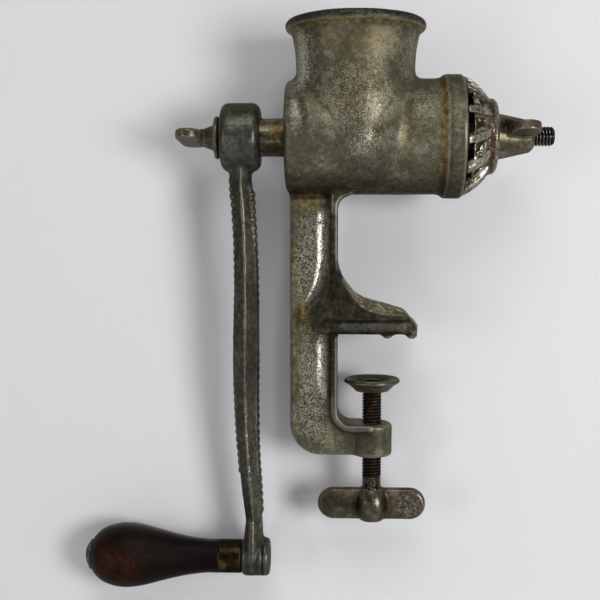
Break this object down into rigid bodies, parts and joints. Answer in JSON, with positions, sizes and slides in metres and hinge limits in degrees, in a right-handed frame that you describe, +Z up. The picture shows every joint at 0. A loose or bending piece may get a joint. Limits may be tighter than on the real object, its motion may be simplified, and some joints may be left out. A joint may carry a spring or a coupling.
{
  "type": "hand crank meat grinder",
  "caption": "Clamp-on kitchen meat grinder with a round hopper, a worm-fed barrel, a rotary cutter under a wing nut, and a hand crank with a wooden grip.",
  "frame": {"origin": "on the flat underside of the upper clamp jaw, on the clamp screw's axis", "axes": "+Z up; +X along the barrel towards the cutter; the crank hangs down at the -X end and -Y is the side seen in the picture"},
  "size_m": [0.2348, 0.0692, 0.2853],
  "materials": {
    "tinned_body": "worn tin plate",
    "worm_iron": "worn tin plate",
    "tinned_small": "worn tin plate",
    "crank_iron": "dark and rubbed",
    "pad_iron": "dark and rubbed",
    "cutter_steel": "bright with rust in the hollows",
    "dark_steel": "rust brown",
    "plain_steel": "dull",
    "ferrule_brass": "tarnished",
    "grip_wood": "dark varnish"
  },
  "bodies": {
    "body": {"body_casting": "tinned_body", "thrust_washer": "plain_steel"},
    "worm": {"feed_screw": "worm_iron", "front_stud": "dark_steel"},
    "crank": {"crank_arm": "crank_iron", "crank_washer": "tinned_small", "handle_spindle": "plain_steel", "spindle_washer": "plain_steel"},
    "thumb_screw": {"thumb_screw": "tinned_small"},
    "grip": {"handle_grip": "grip_wood", "handle_ferrule": "ferrule_brass"},
    "cutter": {"cutter": "cutter_steel"},
    "wing_nut": {"wing_nut": "tinned_small"},
    "clamp_pad": {"clamp_pad": "pad_iron"},
    "clamp_screw": {"clamp_screw": "dark_steel", "clamp_thumb_piece": "pad_iron"}
  },
  "joints": [
    {"name": "crank_turn", "type": "hinge", "parent": "body", "child": "worm", "pos_m": [0, 0, 0.096], "axis": [1, 0, 0], "continuous": true},
    {"name": "crank_release", "type": "slide", "parent": "worm", "child": "crank", "axis": [-1, 0, 0], "range_m": [0, 0.00423]},
    {"name": "thumb_screw_turn", "type": "hinge", "parent": "crank", "child": "thumb_screw", "pos_m": [-0.085, 0, 0.096], "axis": [-1, 0, 0], "range_deg": [0, 1080]},
    {"name": "grip_spin", "type": "hinge", "parent": "crank", "child": "grip", "pos_m": [-0.1, 0, -0.1165], "axis": [1, 0, 0], "continuous": true},
    {"name": "cutter_release", "type": "slide", "parent": "worm", "child": "cutter", "axis": [1, 0, 0], "range_m": [0, 0.00635]},
    {"name": "wing_nut_turn", "type": "hinge", "parent": "cutter", "child": "wing_nut", "pos_m": [0.07, 0, 0.096], "axis": [1, 0, 0], "range_deg": [0, 1440]},
    {"name": "clamp_travel", "type": "slide", "parent": "body", "child": "clamp_pad", "axis": [0, 0, 1], "range_m": [-0.01587, 0.01587]},
    {"name": "clamp_screw_turn", "type": "hinge", "parent": "clamp_pad", "child": "clamp_screw", "pos_m": [0, 0, -0.06], "axis": [0, 0, 1], "range_deg": [-3600, 3600]}
  ],
  "couplings": [
    {"joint": "thumb_screw_turn", "follows": "crank_release", "rad_per_m": 4452.7},
    {"joint": "wing_nut_turn", "follows": "cutter_release", "rad_per_m": 3957.9},
    {"joint": "clamp_screw_turn", "follows": "clamp_travel", "rad_per_m": 3957.9}
  ]
}
